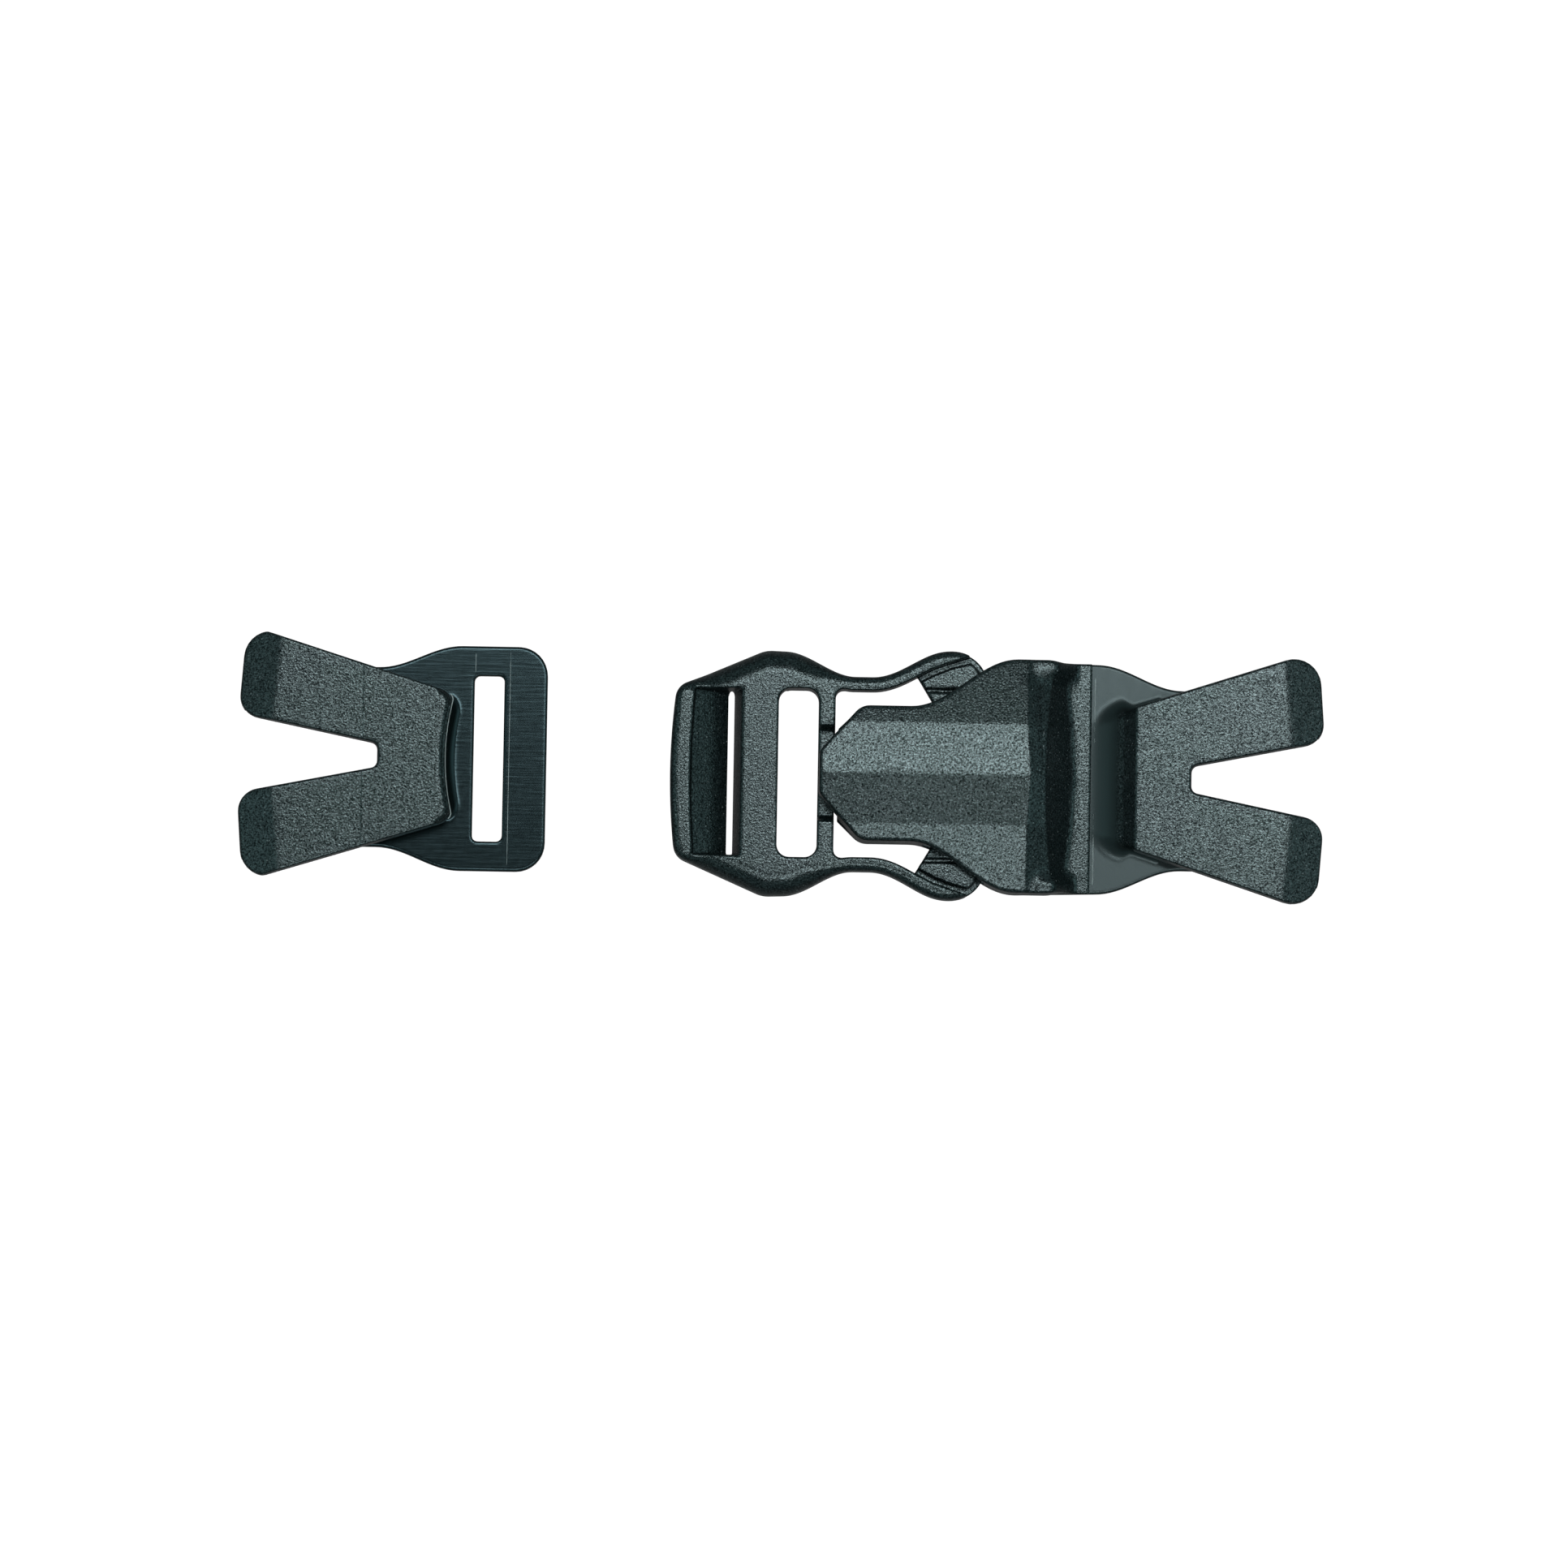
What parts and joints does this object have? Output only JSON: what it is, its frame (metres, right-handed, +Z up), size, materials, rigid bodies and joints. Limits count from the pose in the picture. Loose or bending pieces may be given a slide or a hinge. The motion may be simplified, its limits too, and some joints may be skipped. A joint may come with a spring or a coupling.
{
  "type": "side release buckle and strap loop set",
  "caption": "Chest-strap set: a webbing loop clip and a side-release buckle with a ladder-lock, each ending in a fork that clips over webbing.",
  "frame": {"origin": "centre of the set's footprint, on the surface it lies on", "axes": "+X along the strap from the loop clip to the receiver, +Y across it, +Z up, away from the surface"},
  "size_m": [0.1682, 0.0398, 0.0094],
  "materials": {
    "textured_nylon": "fine spark-eroded grain",
    "web_plate": "smooth, semi-gloss"
  },
  "bodies": {
    "plug": {"plug_frame": "textured_nylon", "plug_tongue": "textured_nylon"},
    "upper_arm": {"plug_upper_arm": "textured_nylon"},
    "lower_arm": {"plug_lower_arm": "textured_nylon"},
    "receiver": {"receiver_cover": "textured_nylon", "receiver_plate": "web_plate", "receiver_fork": "textured_nylon"},
    "receiver_tine_up": {"receiver_upper_tine": "textured_nylon"},
    "receiver_tine_low": {"receiver_lower_tine": "textured_nylon"},
    "loop_clip": {"loop_plate": "web_plate", "loop_fork": "textured_nylon"},
    "loop_tine_up": {"loop_upper_tine": "textured_nylon"},
    "loop_tine_low": {"loop_lower_tine": "textured_nylon"}
  },
  "joints": [
    {"name": "buckle_release", "type": "slide", "parent": "plug", "child": "receiver", "axis": [1, 0, 0], "range_m": [0, 0.034], "deforming": ["plug_upper_arm", "plug_lower_arm"]},
    {"name": "arm_squeeze", "type": "hinge", "parent": "plug", "child": "upper_arm", "pos_m": [0.01, 0.01379, 0.0035], "axis": [0, 0, -1], "range_deg": [0, 5.5], "stiffness_Nm_per_rad": 0.05},
    {"name": "lower_arm_squeeze", "type": "hinge", "parent": "plug", "child": "lower_arm", "pos_m": [0.01, -0.01493, 0.0035], "axis": [0, 0, -1], "range_deg": [-5.5, 0], "stiffness_Nm_per_rad": 0.05},
    {"name": "strap_adjust", "type": "slide", "parent": "plug", "child": "loop_clip", "axis": [1, 0, 0], "range_m": [-0.08, 0.015]},
    {"name": "receiver_tine_lift", "type": "hinge", "parent": "receiver", "child": "receiver_tine_up", "pos_m": [0.06545, 0.00743, 0.0053], "axis": [0, -1, 0], "range_deg": [0, 8], "stiffness_Nm_per_rad": 0.05},
    {"name": "receiver_low_tine_lift", "type": "hinge", "parent": "receiver", "child": "receiver_tine_low", "pos_m": [0.06545, -0.00857, 0.0053], "axis": [0, -1, 0], "range_deg": [0, 8], "stiffness_Nm_per_rad": 0.05},
    {"name": "loop_tine_lift", "type": "hinge", "parent": "loop_clip", "child": "loop_tine_up", "pos_m": [-0.06545, 0.00903, 0.0053], "axis": [0, 1, 0], "range_deg": [0, 8], "stiffness_Nm_per_rad": 0.05},
    {"name": "loop_low_tine_lift", "type": "hinge", "parent": "loop_clip", "child": "loop_tine_low", "pos_m": [-0.06545, -0.00697, 0.0053], "axis": [0, 1, 0], "range_deg": [0, 8], "stiffness_Nm_per_rad": 0.05}
  ],
  "couplings": [
    {"joint": "lower_arm_squeeze", "follows": "arm_squeeze", "ratio": -1},
    {"joint": "receiver_low_tine_lift", "follows": "receiver_tine_lift", "ratio": 1},
    {"joint": "loop_low_tine_lift", "follows": "loop_tine_lift", "ratio": 1}
  ]
}
